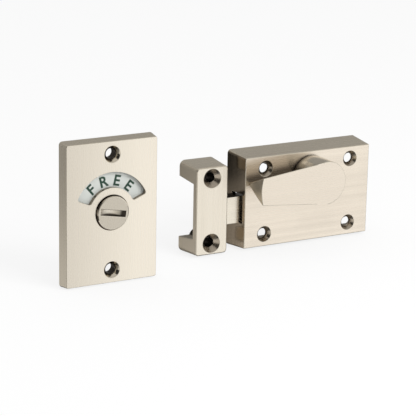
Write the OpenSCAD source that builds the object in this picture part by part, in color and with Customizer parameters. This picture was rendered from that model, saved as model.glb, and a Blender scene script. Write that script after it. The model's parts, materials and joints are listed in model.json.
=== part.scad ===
// Toilet indicator bolt in satin nickel: bolt case with lever turn, keep, and indicator plate.
// Millimetres. X runs right, Y runs back towards the door, Z runs up.
// The origin is where the spindle axis crosses the door face behind the bolt case.

/* [Bolt case] */
// Width of the case's front face
case_w = 76; // [74:1:90]
// Height of the case's front face
case_h = 48; // [47:1:60]
// Depth of the case from its front face to the door
case_depth = 16; // [15.5:0.5:22]
// Thickness of the cast walls
case_wall = 2.2; // [1.8:0.1:2.4]
// How far each side leans out between the front face and the door
case_draft = 1.6; // [0.4:0.1:3]
// Radius of the case's corners at the front face; they widen towards the door as the sides lean out
case_corner_r = 0.4; // [0.3:0.1:2]
// Spindle axis, measured from the left edge of the front face
spindle_from_left = 39.5; // [37:0.5:44]
// Spindle axis, measured from the bottom edge of the front face
spindle_from_bottom = 34.5; // [34:0.5:36]
// Screw holes in the case, centre to centre across
case_screw_x = 52; // [48:1:56]
// Screw holes in the case, centre to centre up
case_screw_z = 35; // [34:0.5:37]
// Diameter of the screw holes in case and plate
screw_hole_d = 5.2; // [4:0.1:5.4]
// Diameter of their countersinks
screw_head_d = 8.5; // [7.5:0.1:9]
// Depth of their countersinks
sink_depth = 2; // [1.4:0.1:2.6]
// Thickness of the case's front wall at the screw holes
screw_pad_t = 3.2; // [3:0.1:3.6]

/* [Bolt] */
// Height of the bolt
bolt_h = 14.4; // [12:0.2:15]
// Thickness of the bolt
bolt_t = 7; // [6:0.2:7.4]
// Distance of the bolt's front behind the case's front face
bolt_setback = 4.2; // [3.8:0.1:4.6]
// Length of bolt behind the spindle axis when it is thrown
bolt_tail = 9; // [8:0.5:14]
// Bevel on the bolt's leading corners
bolt_nose_bevel = 0.8; // [0.2:0.1:1.5]
// Gap above the bolt in the slot of the case
slot_head_room = 1.1; // [0.5:0.1:2]

/* [Rack and pinion] */
// Module of the teeth
gear_module = 1; // [0.95:0.01:1.04]
// Teeth on the pinion
pinion_teeth = 11; // [11:1:12]
// Pressure angle of the teeth in degrees
pressure_angle = 20; // [18:1:24]
// Play between the teeth
backlash = 0.24; // [0.16:0.02:0.3]
// Turn of the knob that throws or draws the bolt, in degrees
turn_angle = 180; // [150:5:180]

/* [Turn knob] */
// Diameter of the round stem
stem_d = 22.8; // [20:0.2:26]
// Stand-off of the knob's front face from the case
knob_height = 16.2; // [14:0.2:22]
// Reach of the lever from the spindle axis
lever_reach = 39.6; // [30:0.2:46]
// Height of the lever's front face at its tip
lever_tip_h = 14.2; // [10:0.2:16]
// Height that the lever's front face would have at the spindle axis
lever_root_h = 22.6; // [17:0.2:22.6]
// Angle by which the lever hangs below level while the bolt is thrown
lever_sag = 0.8; // [0:0.1:3]
// Thickness of the lever's back edge at the tip
lever_keel_t = 1; // [0.6:0.1:3]
// How far the tip leans in from front to back
tip_undercut = 2.6; // [0:0.1:4]
// How far the tip bulges between its corners
tip_bulge = 1; // [0.4:0.1:2]
// Gap between the lever and the case
knob_gap = 0.35; // [0.2:0.05:0.6]
// Diameter of the knob's journal in its bush
journal_d = 9; // [8.6:0.1:9.4]

/* [Spindle] */
// Side of the square spindle
spindle_side = 5; // [4.5:0.1:5.2]
// Length of spindle behind the door face
spindle_reach = 40; // [25:1:44]
// Depth of the spindle's socket in the knob's stem
socket_depth = 10; // [8:0.5:11]

/* [Keep] */
// Width of the keep's front face
keep_w = 18.2; // [16:0.2:24]
// Height of the keep's front face
keep_h = 46; // [44:1:54]
// How far each side of the keep leans out between the front face and the frame
keep_draft = 1.2; // [0.4:0.1:2]
// Radius of the keep's corners at the front face
keep_corner_r = 1.8; // [0.3:0.1:2.5]
// Thickness of the bridge over the bolt
bridge_t = 3.1; // [2.4:0.1:3.6]
// Height of each leg at the frame
leg_h = 8.2; // [7:0.1:9]
// How much taller each leg is at the bridge
leg_draft = 1.6; // [0.5:0.1:2]
// Screw holes in the keep, centre to centre
keep_screw_z = 34.2; // [32.5:0.2:35]
// Diameter of the keep's screw holes
keep_hole_d = 5.2; // [4:0.1:5.4]
// Diameter of the keep's countersinks
keep_head_d = 10.2; // [9:0.1:10.4]
// Depth of the keep's countersinks
keep_sink_depth = 2.6; // [2:0.1:3]
// Clear distance between the keep's and the case's front faces
keep_gap = 10.4; // [8:0.2:12]

/* [Indicator plate] */
// Width of the plate's front face
plate_w = 48.4; // [47.4:0.2:60]
// Height of the plate's front face
plate_h = 70.4; // [68:0.2:90]
// Thickness of the plate from its front face to the door
plate_t = 6.5; // [6.4:0.1:8]
// How far each side leans out between the front face and the door
plate_draft = 0.9; // [0.2:0.1:1.5]
// Radius of the plate's corners at the front face
plate_corner_r = 0.9; // [0.2:0.1:3]
// Thickness of the plate's cast walls
plate_wall = 2.2; // [1.8:0.1:2.2]
// Screw holes in the plate, centre to centre
plate_screw_z = 57.6; // [56.6:0.2:59]
// Wall of the bosses that carry the plate's screw holes back to the door
plate_boss_wall = 2.6; // [1.8:0.1:2.8]
// Outer radius of the window
window_r_out = 20; // [18.8:0.2:20.2]
// Inner radius of the window
window_r_in = 12.3; // [11:0.1:14]
// Half the angle that the window spans, in degrees
window_half_angle = 67.5; // [50:0.5:75]
// Radius of the window's rounded corners
window_corner_r = 1.2; // [0.4:0.1:2]
// Clear distance between the plate's and the keep's front faces
plate_gap = 32.7; // [20:0.1:60]
// Distance of the plate's back in front of the door face behind the case
plate_ahead = 28; // [0:1:60]

/* [Coin release] */
// Diameter of the release's head
release_d = 17; // [15:0.1:18]
// How far the head stands out from the plate
release_proud = 1.5; // [0.6:0.1:3]
// Gap all round the head
release_gap = 0.35; // [0.2:0.05:0.6]
// Width of the coin slot
coin_slot_w = 3; // [2:0.1:4]
// Length of the coin slot at the head's face
coin_slot_l = 14; // [11:0.2:14.4]
// Depth of the coin slot at its middle
coin_slot_depth = 2.6; // [1.5:0.1:3]
// Angle by which the coin slot leans from level, its right-hand end lower
coin_slot_lean = 10; // [0:0.5:15]
// Diameter of the release's journal in the back cover
release_journal_d = 10; // [9.4:0.1:10.6]

/* [Fits] */
// Running clearance of a journal in its bore, on the radius
running_fit = 0.05; // [0.02:0.01:0.08]
// Clearance between sliding or turning faces
sliding_gap = 0.2; // [0.15:0.05:0.3]
// Clearance of a fixed piece in its seat
seat_fit = 0.02; // [0.01:0.01:0.04]

/* [Small parts] */
// Thickness of the retaining plate behind the bolt
retainer_t = 1.5; // [1:0.1:1.8]
// Diameter of the pillars that carry the retaining plate
pillar_d = 5.4; // [5:0.1:5.8]
// Diameter of the small machine screws
small_screw_d = 2.4; // [2:0.1:2.6]
// Diameter of their heads
small_head_d = 4.4; // [3.8:0.1:4.6]
// Height of their heads
small_head_h = 1.3; // [0.8:0.1:1.5]
// Diameter of the pin that ends the bolt's travel
stop_pin_d = 3; // [2.4:0.1:3.4]
// Thickness of the circlips
circlip_t = 0.6; // [0.5:0.05:0.7]
// Depth of their grooves
groove_depth = 0.45; // [0.35:0.05:0.5]
// Width of the circlips' rings
circlip_w = 1.5; // [1.1:0.1:1.6]
// Wall of the knob's bush
bush_wall = 1.4; // [1:0.1:1.6]
// Thickness of the bush's flange
bush_flange_t = 0.8; // [0.6:0.1:1]
// Thickness of the bow spring in front of the bolt
bow_spring_t = 0.4; // [0.3:0.05:0.5]
// Width of the bow spring
bow_spring_w = 6; // [4:0.2:6.6]
// Length of the bow spring
bow_spring_l = 15; // [12:0.5:15.4]
// Thickness of the indicator disc
disc_t = 1; // [0.8:0.1:1.1]
// Rim of the disc that lies behind the plate beyond the window
disc_rim = 0.8; // [0.5:0.1:1]
// Thickness of the plate's back cover
cover_t = 1.2; // [1:0.1:1.3]
// Thickness of the dished spring washer
dish_t = 0.3; // [0.25:0.05:0.35]
// Width of the dished washer's ring
dish_w = 3; // [2:0.1:3.4]
// Diameter of the disc's stop pin
disc_pin_d = 2; // [1.6:0.1:2.2]
// Distance of that pin from the release's axis
disc_pin_ring_r = 14; // [12:0.5:16]
// Diameter of the grub screw in the knob's stem
grub_d = 4; // [3:0.5:4]
// Length of the grub screw
grub_l = 6; // [5:0.5:7]
// Distance of the grub screw in front of the case
grub_from_case = 6; // [5:0.5:6.5]

/* [Hidden] */
$fn = 64;
// Overlap of cutters with what they cut
cut = 1;
// Radius of the corners inside a casting
cavity_corner_r = 0.5;

satin_nickel = [0.80, 0.77, 0.72];
brass = [0.78, 0.63, 0.34];
steel = [0.62, 0.63, 0.65];
nylon = [0.86, 0.85, 0.80];
enamel = [0.94, 0.94, 0.91];

// Places in depth, from the door face forwards
case_front_y = -case_depth;
case_inner_y = case_front_y + case_wall;
bolt_front_y = case_front_y + bolt_setback;
bolt_back_y = bolt_front_y + bolt_t;
retainer_front_y = bolt_back_y + sliding_gap;
retainer_back_y = retainer_front_y + retainer_t;
knob_front_y = case_front_y - knob_height;

// Edges of the case
case_left = -spindle_from_left;
case_right = case_left + case_w;
case_bottom = -spindle_from_bottom;
case_top = case_bottom + case_h;
case_mid_x = (case_left + case_right)/2;
case_mid_z = (case_bottom + case_top)/2;
floor_z = case_bottom - case_draft;
case_screw_places = [for (x = [-1, 1], z = [-1, 1])
    [case_mid_x + x*case_screw_x/2, case_mid_z + z*case_screw_z/2]];

// Teeth: the profile shift keeps the small pinion from being undercut
pitch_r = gear_module*pinion_teeth/2;
profile_shift = max(0, 1 - pinion_teeth*pow(sin(pressure_angle), 2)/2);
addendum = gear_module;
dedendum = 1.25*gear_module;
pinion_tip_r = pitch_r + profile_shift*gear_module + addendum;
pinion_root_r = pitch_r + profile_shift*gear_module - dedendum;
pinion_base_r = pitch_r*cos(pressure_angle);
rack_ref_z = -(pitch_r + profile_shift*gear_module);
rack_pitch = PI*gear_module;
bolt_throw = pitch_r*turn_angle*PI/180;

// Pillars that carry the retaining plate, clear of the pinion and of the walls
guide_t = 2;
pillar_clear = 2;
pillar_wall_gap = 1;
pillar_ledge_gap = 0.3;
bolt_top = rack_ref_z - dedendum;
bolt_bottom = bolt_top - bolt_h;
pillar_x = pinion_tip_r + pillar_clear + pillar_d/2;
pillar_top_z = case_top - case_wall - pillar_wall_gap - pillar_d/2;
pillar_bottom_z = bolt_bottom - sliding_gap - guide_t - pillar_ledge_gap - pillar_d/2;
pillar_places = [for (x = [-pillar_x, pillar_x], z = [pillar_bottom_z, pillar_top_z]) [x, z]];
retainer_edge = 0.6;
retainer_screw_grip = 5;

// Bolt, its guides and its stop pin
bolt_mid_z = (bolt_top + bolt_bottom)/2;
slot_end_x = case_left - case_draft;
slot_inner_x = case_left + 2*case_wall;
bolt_nose_x = slot_end_x - bolt_throw;
guide_end_gap = 1;
guide_end_x = -(pillar_x + pillar_d/2 + guide_end_gap);
stop_x = 3;
stop_drop = 2.5;
stop_z = bolt_mid_z - stop_drop;

// Bow spring: its stops end short of the bolt, and the leaf is drawn just free of what it presses on
bow_mid_x = (slot_inner_x + guide_end_x)/2;
spring_stop_short = 0.6;
spring_gap = 0.05;

// Knob, bush and what turns with the spindle
journal_r = journal_d/2;
bush_bore_r = journal_r + running_fit;
bush_r = bush_bore_r + bush_wall;
bush_flange_w = 2;
bush_flange_r = bush_r + bush_flange_w;
bush_tail = 0.3;
bush_back_y = case_inner_y + bush_tail;
washer_t = 0.5;
end_play = 0.1;
groove_play = 0.05;
journal_end_l = 0.3;
washer_back_y = bush_back_y + end_play + washer_t;
knob_clip_back_y = washer_back_y + groove_play + circlip_t;
journal_back_y = knob_clip_back_y + journal_end_l;
pinion_front_y = journal_back_y + end_play;
pinion_back_y = retainer_front_y - sliding_gap;
hub_step = 0.1;
hub_r = pinion_root_r - hub_step;
socket_side = spindle_side + 2*running_fit;
socket_end_y = case_front_y - socket_depth;
grub_y = case_front_y - grub_from_case;

// Keep
keep_right = case_left - keep_gap;
keep_mid_x = keep_right - keep_w/2;
keep_mid_z = floor_z + keep_draft + keep_h/2;
mouth_h = keep_h + 2*keep_draft - 2*leg_h;
boss_wall = 1.6;

// Indicator plate
plate_mid_x = keep_right - keep_w - plate_gap - plate_w/2;
plate_mid_z = floor_z + plate_draft + plate_h/2;
plate_back_y = -plate_ahead;
plate_front_y = plate_back_y - plate_t;
plate_inner_y = plate_front_y + plate_wall;

// Release, disc and back cover, from the front to the back
release_r = release_d/2;
release_hole_r = release_r + release_gap;
release_journal_r = release_journal_d/2;
release_front_y = plate_front_y - release_proud;
release_rim_r = 0.7;
disc_front_y = plate_inner_y + sliding_gap;
disc_back_y = disc_front_y + disc_t;
disc_r = window_r_out + disc_rim;
// The flats of the disc's seat let the disc pass over the journal
disc_seat_w = 1.2;
disc_seat_r = release_journal_r + disc_seat_w;
disc_half_flat = release_journal_r + running_fit;
// Place of the disc's stop pin at rest, as an angle seen from the front
stop_angle = 180;
release_clip_back_y = disc_back_y + circlip_t;
cover_inset = 0.2;
cover_back_y = plate_back_y - cover_inset;
cover_front_y = cover_back_y - cover_t;
cover_half_w = plate_w/2 - plate_wall - sliding_gap;
cover_margin = 1.8;
cover_half_h = disc_r + cover_margin;
cover_corner_r = 3;
cover_screw_x = cover_half_w - cover_corner_r;
cover_screw_z = cover_half_h - cover_corner_r;
cover_places = [for (x = [-1, 1], z = [-1, 1]) [x*cover_screw_x, z*cover_screw_z]];
cover_boss_r = 2.5;
cover_head_h = 0.7*cover_t;
cover_screw_short = 0.6;
cover_screw_end_y = plate_inner_y + cover_screw_short;
dish_front_y = release_clip_back_y + spring_gap;
dish_back_y = cover_front_y - spring_gap;
dish_in_r = release_journal_r + sliding_gap;
dish_out_r = dish_in_r + dish_w;

// Helpers: flat shapes are drawn as seen from the front, X right and Z up

module slab(back_y, front_y) {
    translate([0, back_y, 0]) rotate([90, 0, 0]) linear_extrude(back_y - front_y) children();
}

module rod(x, z, back_y, front_y, r) {
    translate([x, back_y, z]) rotate([90, 0, 0]) cylinder(h = back_y - front_y, r = r);
}

module cone(x, z, back_y, front_y, back_r, front_r) {
    translate([x, back_y, z]) rotate([90, 0, 0])
        cylinder(h = back_y - front_y, r1 = back_r, r2 = front_r);
}

module rounded(w, h, r) {
    square([w - 2*r, h], center = true);
    square([w, h - 2*r], center = true);
    for (x = [-1, 1], z = [-1, 1]) translate([x*(w/2 - r), z*(h/2 - r)]) circle(r);
}

// Block whose four sides lean out from the front face to the back, with a cone in each corner
module drafted_block(w, h, back_y, front_y, draft, corner_r) {
    corner_x = w/2 - corner_r;
    corner_z = h/2 - corner_r;
    translate([0, 0, -corner_z]) linear_extrude(2*corner_z)
        polygon([[-w/2 - draft, back_y], [w/2 + draft, back_y], [w/2, front_y], [-w/2, front_y]]);
    translate([-corner_x, 0, 0]) rotate([90, 0, 90]) linear_extrude(2*corner_x)
        polygon([[back_y, -h/2 - draft], [back_y, h/2 + draft], [front_y, h/2], [front_y, -h/2]]);
    for (x = [-1, 1], z = [-1, 1])
        cone(x*corner_x, z*corner_z, back_y, front_y, corner_r + draft, corner_r);
}

// Drafted block with an open back, its walls as thick all round
module drafted_shell(w, h, back_y, front_y, draft, corner_r, wall) {
    lean = draft/(back_y - front_y);
    inner_front_y = front_y + wall;
    inner_back_y = back_y + cut;
    difference() {
        drafted_block(w, h, back_y, front_y, draft, corner_r);
        drafted_block(
            w - 2*wall + 2*lean*wall, h - 2*wall + 2*lean*wall, inner_back_y, inner_front_y,
            lean*(inner_back_y - inner_front_y), cavity_corner_r);
    }
}

// Through hole with a countersink in the front face
module countersunk_hole(x, z, front_y, depth, hole_d, head_d, sink) {
    flare = (head_d - hole_d)/2/sink;
    rod(x, z, front_y + depth + cut, front_y - cut, hole_d/2);
    cone(x, z, front_y + sink, front_y - cut, hole_d/2, head_d/2 + flare*cut);
}

// Circlip: a ring with a gap at the bottom, its inner edge in the groove
module circlip(x, z, back_y, shaft_r) {
    translate([x, 0, z]) slab(back_y, back_y - circlip_t) difference() {
        circle(shaft_r - groove_depth + circlip_w);
        circle(shaft_r - groove_depth);
        translate([-shaft_r/2, -2*shaft_r]) square([shaft_r, 2*shaft_r]);
    }
}

// Pan-headed screw that is driven from the back
module small_screw(x, z, under_head_y, length) {
    rod(x, z, under_head_y, under_head_y - length, small_screw_d/2);
    difference() {
        rod(x, z, under_head_y + small_head_h, under_head_y, small_head_d/2);
        translate([x, under_head_y + small_head_h, z])
            cube([small_head_d + cut, small_head_h, small_head_d/6], center = true);
    }
}

// Teeth

function degrees_of(rad) = rad*180/PI;
function involute(angle) = tan(angle) - angle*PI/180;

// Half of the tooth's angle at radius r, in degrees
function half_tooth(r) =
    let (thickness = gear_module*(PI/2 + 2*profile_shift*tan(pressure_angle)) - backlash)
    let (at_pitch = thickness/(2*pitch_r))
    let (flank = acos(pinion_base_r/max(r, pinion_base_r)))
    degrees_of(at_pitch + involute(pressure_angle) - involute(flank));

flank_steps = 5;
flank_start_r = max(pinion_base_r, pinion_root_r);
flank_radii = [for (i = [0 : flank_steps]) flank_start_r + (pinion_tip_r - flank_start_r)*i/flank_steps];

function at_angle(r, a) = [r*cos(a), r*sin(a)];
function one_tooth(a) = concat(
    [at_angle(pinion_root_r, a - half_tooth(flank_start_r))],
    [for (r = flank_radii) at_angle(r, a - half_tooth(r))],
    [for (i = [flank_steps : -1 : 0]) at_angle(flank_radii[i], a + half_tooth(flank_radii[i]))],
    [at_angle(pinion_root_r, a + half_tooth(flank_start_r))]);

// One tooth points straight down when the bolt is thrown
module pinion_outline() {
    polygon([for (i = [0 : pinion_teeth - 1], p = one_tooth(-90 + i*360/pinion_teeth)) p]);
}

// The rack has a space under the pinion's lowest tooth
module rack_teeth(from_x, to_x) {
    half_at_ref = rack_pitch/4 - backlash/4;
    half_tip = half_at_ref - addendum*tan(pressure_angle);
    half_root = half_at_ref + dedendum*tan(pressure_angle);
    first = ceil(from_x/rack_pitch - 0.5);
    last = floor(to_x/rack_pitch - 0.5);
    for (k = [first : last]) translate([(k + 0.5)*rack_pitch, rack_ref_z])
        polygon([
            [-half_root, -dedendum - cut], [half_root, -dedendum - cut], [half_root, -dedendum],
            [half_tip, addendum], [-half_tip, addendum], [-half_root, -dedendum]]);
}

// Bolt case and what is in it

module bolt_case() {
    color(satin_nickel) difference() {
        union() {
            translate([case_mid_x, 0, case_mid_z])
                drafted_shell(case_w, case_h, 0, case_front_y, case_draft, case_corner_r, case_wall);
            // Rails behind the front wall keep the bolt in line and trap the bow spring
            slab(bolt_front_y - sliding_gap, case_inner_y - case_wall/2)
                for (z = [bolt_top - guide_t, bolt_bottom])
                    translate([case_left + case_wall/2, z]) square([guide_end_x - case_left, guide_t]);
            // Stops at the bow spring's two ends
            for (s = [-1, 1])
                translate([bow_mid_x + s*(bow_spring_l/2 + sliding_gap + guide_t/2), 0, bolt_mid_z])
                    slab(bolt_front_y - spring_stop_short, case_inner_y - case_wall/2)
                        square([guide_t, bolt_h - guide_t], center = true);
            // Ledge that the bolt slides on
            slab(bolt_back_y, case_inner_y - case_wall/2)
                translate([case_left + case_wall/2, bolt_bottom - sliding_gap - guide_t])
                    square([guide_end_x - case_left, guide_t]);
            for (p = pillar_places) rod(p[0], p[1], retainer_front_y, case_inner_y - case_wall/2, pillar_d/2);
            for (p = case_screw_places)
                rod(
                    p[0], p[1], case_front_y + screw_pad_t, case_inner_y - case_wall/2,
                    screw_hole_d/2 + boss_wall);
        }
        for (p = case_screw_places)
            countersunk_hole(p[0], p[1], case_front_y, screw_pad_t, screw_hole_d, screw_head_d, sink_depth);
        rod(0, 0, case_inner_y + cut, case_front_y - cut, bush_r + seat_fit);
        // Slot for the bolt in the left end
        slab(retainer_front_y, case_inner_y)
            translate([slot_end_x - cut, bolt_bottom - sliding_gap])
                square([slot_inner_x - slot_end_x + cut, bolt_h + sliding_gap + slot_head_room]);
        for (p = pillar_places)
            rod(p[0], p[1], retainer_front_y + cut, case_inner_y, small_screw_d/2 + seat_fit);
    }
}

module knob_bush() {
    color(nylon) difference() {
        union() {
            rod(0, 0, bush_back_y, case_front_y, bush_r);
            rod(0, 0, case_front_y, case_front_y - bush_flange_t, bush_flange_r);
        }
        rod(0, 0, bush_back_y + cut, case_front_y - bush_flange_t - cut, bush_bore_r);
    }
}

// Plane cut that gives one side of the lever its slope from the front edge to the keel
module lever_side_cut() {
    depth = knob_height - knob_gap;
    taper = atan((lever_root_h - lever_tip_h)/2/lever_reach);
    slope = atan((lever_tip_h - lever_keel_t)/2*cos(taper)/depth);
    translate([-lever_reach, knob_front_y, lever_tip_h/2]) rotate([0, -taper, 0]) rotate([-slope, 0, 0])
        translate([-lever_reach, -depth, 0]) cube([4*lever_reach, 4*depth, 2*lever_root_h]);
}

module lever() {
    tip_r = (pow(lever_tip_h/2, 2) + pow(tip_bulge, 2))/(2*tip_bulge);
    back_y = case_front_y - knob_gap;
    difference() {
        intersection() {
            translate([-2*lever_reach, knob_front_y, -lever_root_h])
                cube([2*lever_reach, back_y - knob_front_y, 2*lever_root_h]);
            union() {
                cone(tip_r - lever_reach, 0, back_y, knob_front_y, tip_r - tip_undercut, tip_r);
                translate([tip_r - lever_reach, knob_front_y, -lever_root_h])
                    cube([lever_reach, back_y - knob_front_y, 2*lever_root_h]);
            }
        }
        lever_side_cut();
        mirror([0, 0, 1]) lever_side_cut();
    }
}

module turn_knob() {
    stem_back_y = case_front_y - knob_gap;
    color(satin_nickel) difference() {
        union() {
            rod(0, 0, stem_back_y, knob_front_y, stem_d/2);
            rotate([0, -lever_sag, 0]) lever();
            rod(0, 0, journal_back_y, stem_back_y - cut, journal_r);
        }
        // Recess over the bush's flange
        difference() {
            rod(0, 0, case_front_y, case_front_y - bush_flange_t - sliding_gap, bush_flange_r + sliding_gap);
            rod(0, 0, case_front_y + cut, case_front_y - bush_flange_t - cut, journal_r);
        }
        // Square socket for the spindle
        translate([-socket_side/2, socket_end_y, -socket_side/2])
            cube([socket_side, journal_back_y - socket_end_y + cut, socket_side]);
        // Grub screw's hole, underneath
        translate([0, grub_y, -stem_d/2 - cut]) cylinder(h = stem_d/2 + cut, r = grub_d/2 + seat_fit);
        // Circlip groove
        difference() {
            rod(0, 0, knob_clip_back_y + groove_play, washer_back_y, journal_r + cut);
            rod(0, 0, knob_clip_back_y + cut, washer_back_y - cut, journal_r - groove_depth - seat_fit);
        }
    }
}

module knob_grub_screw() {
    grub_end_z = -spindle_side/2 - grub_l;
    color(steel) difference() {
        translate([0, grub_y, grub_end_z]) cylinder(h = grub_l, r = grub_d/2);
        translate([0, grub_y, grub_end_z - cut]) cylinder(h = grub_l/2 + cut, d = grub_d/2, $fn = 6);
    }
}

module knob_washer() {
    color(steel) slab(washer_back_y, washer_back_y - washer_t) difference() {
        circle(bush_r);
        circle(journal_r + running_fit);
    }
}

module knob_circlip() {
    color(steel) circlip(0, 0, knob_clip_back_y, journal_r);
}

module spindle() {
    end_bevel = spindle_side/6;
    y0 = socket_end_y + sliding_gap;
    color(steel) intersection() {
        translate([-spindle_side/2, y0, -spindle_side/2])
            cube([spindle_side, spindle_reach - y0, spindle_side]);
        // Pointed end that finds its way into the release
        union() {
            rod(0, 0, spindle_reach - end_bevel, y0 - cut, spindle_side);
            cone(0, 0, spindle_reach, spindle_reach - 2*end_bevel, spindle_side/2, spindle_side);
        }
    }
}

module drive_pinion() {
    color(brass) difference() {
        union() {
            slab(pinion_back_y, pinion_front_y) pinion_outline();
            // Hub that runs in the retaining plate
            rod(0, 0, retainer_back_y, pinion_back_y - cut, hub_r);
        }
        translate([-socket_side/2, pinion_front_y - cut, -socket_side/2])
            cube([socket_side, retainer_back_y - pinion_front_y + 2*cut, socket_side]);
    }
}

module bolt() {
    tail_x = bolt_tail;
    slot_from = stop_x - bolt_throw - stop_pin_d/2 - sliding_gap;
    slot_to = stop_x + stop_pin_d/2 + sliding_gap;
    slot_r = stop_pin_d/2 + sliding_gap;
    color(satin_nickel) slab(bolt_back_y, bolt_front_y) difference() {
        union() {
            polygon([
                [bolt_nose_x + bolt_nose_bevel, bolt_bottom], [tail_x, bolt_bottom], [tail_x, bolt_top],
                [bolt_nose_x + bolt_nose_bevel, bolt_top], [bolt_nose_x, bolt_top - bolt_nose_bevel],
                [bolt_nose_x, bolt_bottom + bolt_nose_bevel]]);
            rack_teeth(-bolt_throw - pinion_tip_r, tail_x);
        }
        // Slot over the stop pin
        for (x = [slot_from + slot_r, slot_to - slot_r]) translate([x, stop_z]) circle(slot_r);
        translate([slot_from + slot_r, stop_z - slot_r]) square([slot_to - slot_from - 2*slot_r, 2*slot_r]);
    }
}

// Leaf bent to an arc: its ends bear on the case and its middle on the bolt
module bow_spring() {
    rise = bolt_front_y - 2*spring_gap - case_inner_y - bow_spring_t;
    bow_r = (pow(bow_spring_l/2, 2) + pow(rise, 2))/(2*rise);
    color(steel) translate([bow_mid_x, bolt_front_y - spring_gap - bow_r, bolt_mid_z - bow_spring_w/2])
        intersection() {
            difference() {
                cylinder(h = bow_spring_w, r = bow_r);
                translate([0, 0, -cut]) cylinder(h = bow_spring_w + 2*cut, r = bow_r - bow_spring_t);
            }
            translate([-bow_spring_l/2, 0, -cut]) cube([bow_spring_l, 2*bow_r, bow_spring_w + 2*cut]);
        }
}

module stop_pin() {
    color(steel) rod(stop_x, stop_z, retainer_back_y, case_inner_y, stop_pin_d/2);
}

module retaining_plate() {
    edge = pillar_d/2 + retainer_edge;
    w = 2*pillar_x + 2*edge;
    h = pillar_top_z - pillar_bottom_z + 2*edge;
    color(steel) difference() {
        slab(retainer_back_y, retainer_front_y) difference() {
            translate([0, (pillar_top_z + pillar_bottom_z)/2]) rounded(w, h, edge);
            for (p = pillar_places) translate(p) circle(small_screw_d/2 + seat_fit);
        }
        rod(0, 0, retainer_back_y + cut, retainer_front_y - cut, hub_r + running_fit);
        rod(stop_x, stop_z, retainer_back_y + cut, retainer_front_y - cut, stop_pin_d/2 + seat_fit);
    }
}

module retainer_screws() {
    color(steel) for (p = pillar_places)
        small_screw(p[0], p[1], retainer_back_y, retainer_t + retainer_screw_grip);
}

// Keep: a bridge on two legs, open at both sides

module keep() {
    inner_y = case_front_y + bridge_t;
    boss_r = keep_hole_d/2 + boss_wall;
    color(satin_nickel) translate([keep_mid_x, 0, keep_mid_z]) difference() {
        union() {
            difference() {
                drafted_block(keep_w, keep_h, 0, case_front_y, keep_draft, keep_corner_r);
                translate([-keep_w, 0, 0]) rotate([90, 0, 90]) linear_extrude(2*keep_w)
                    polygon([
                        [cut, -mouth_h/2], [cut, mouth_h/2], [0, mouth_h/2], [inner_y, mouth_h/2 - leg_draft],
                        [inner_y, leg_draft - mouth_h/2], [0, -mouth_h/2]]);
            }
            // Bosses round the screws, where the legs are thin
            for (z = [-1, 1]) rod(0, z*keep_screw_z/2, 0, inner_y - bridge_t/2, boss_r);
        }
        for (z = [-1, 1])
            countersunk_hole(
                0, z*keep_screw_z/2, case_front_y, case_depth, keep_hole_d, keep_head_d, keep_sink_depth);
    }
}

// Indicator plate and its works

module at_plate() {
    translate([plate_mid_x, 0, plate_mid_z]) children();
}

// Ring sector drawn as seen from the front, its middle straight up
module ring_sector(r_in, r_out, half_angle) {
    reach = 2*r_out;
    intersection() {
        difference() {
            circle(r_out);
            circle(r_in);
        }
        polygon([[0, 0], for (t = [-1 : 1/3 : 1]) at_angle(reach, 90 + half_angle*t)]);
    }
}

// Window with a rounded corner at each end of its two arcs
module window_shape() {
    c = window_corner_r;
    mid_r = (window_r_out + window_r_in)/2;
    corner_rs = [window_r_in + c, window_r_out - c];
    ends = [for (r = corner_rs) window_half_angle - asin(c/r)];
    ring_sector(corner_rs[0], corner_rs[1], window_half_angle);
    ring_sector(window_r_in, mid_r, ends[0]);
    ring_sector(mid_r, window_r_out, ends[1]);
    for (i = [0, 1], s = [-1, 1]) translate(at_angle(corner_rs[i], 90 + s*ends[i])) circle(c);
}

module indicator_plate() {
    hole_z = plate_screw_z/2;
    color(satin_nickel) at_plate() difference() {
        union() {
            drafted_shell(
                plate_w, plate_h, plate_back_y, plate_front_y, plate_draft, plate_corner_r, plate_wall);
            for (z = [-hole_z, hole_z])
                rod(0, z, plate_back_y, plate_front_y + plate_wall/2, screw_hole_d/2 + plate_boss_wall);
            for (p = cover_places) rod(p[0], p[1], cover_front_y, plate_inner_y - plate_wall/2, cover_boss_r);
        }
        for (z = [-hole_z, hole_z])
            countersunk_hole(0, z, plate_front_y, plate_t, screw_hole_d, screw_head_d, sink_depth);
        rod(0, 0, plate_inner_y + cut, plate_front_y - cut, release_hole_r);
        slab(plate_inner_y + cut, plate_front_y - cut) window_shape();
        for (p = cover_places)
            rod(p[0], p[1], cover_front_y + cut, plate_inner_y + sliding_gap, small_screw_d/2 + seat_fit);
    }
}

// Head with a rounded rim, turned about the spindle axis
module release_head() {
    h = disc_front_y - release_front_y;
    translate([0, disc_front_y, 0]) rotate([90, 0, 0]) rotate_extrude() {
        square([release_r, h - release_rim_r]);
        square([release_r - release_rim_r, h]);
        translate([release_r - release_rim_r, h - release_rim_r]) circle(release_rim_r);
    }
}

// Round seat with two flats, top and bottom
module flatted(r, half_flat) {
    intersection() {
        circle(r);
        square([2*r, 2*half_flat], center = true);
    }
}

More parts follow.
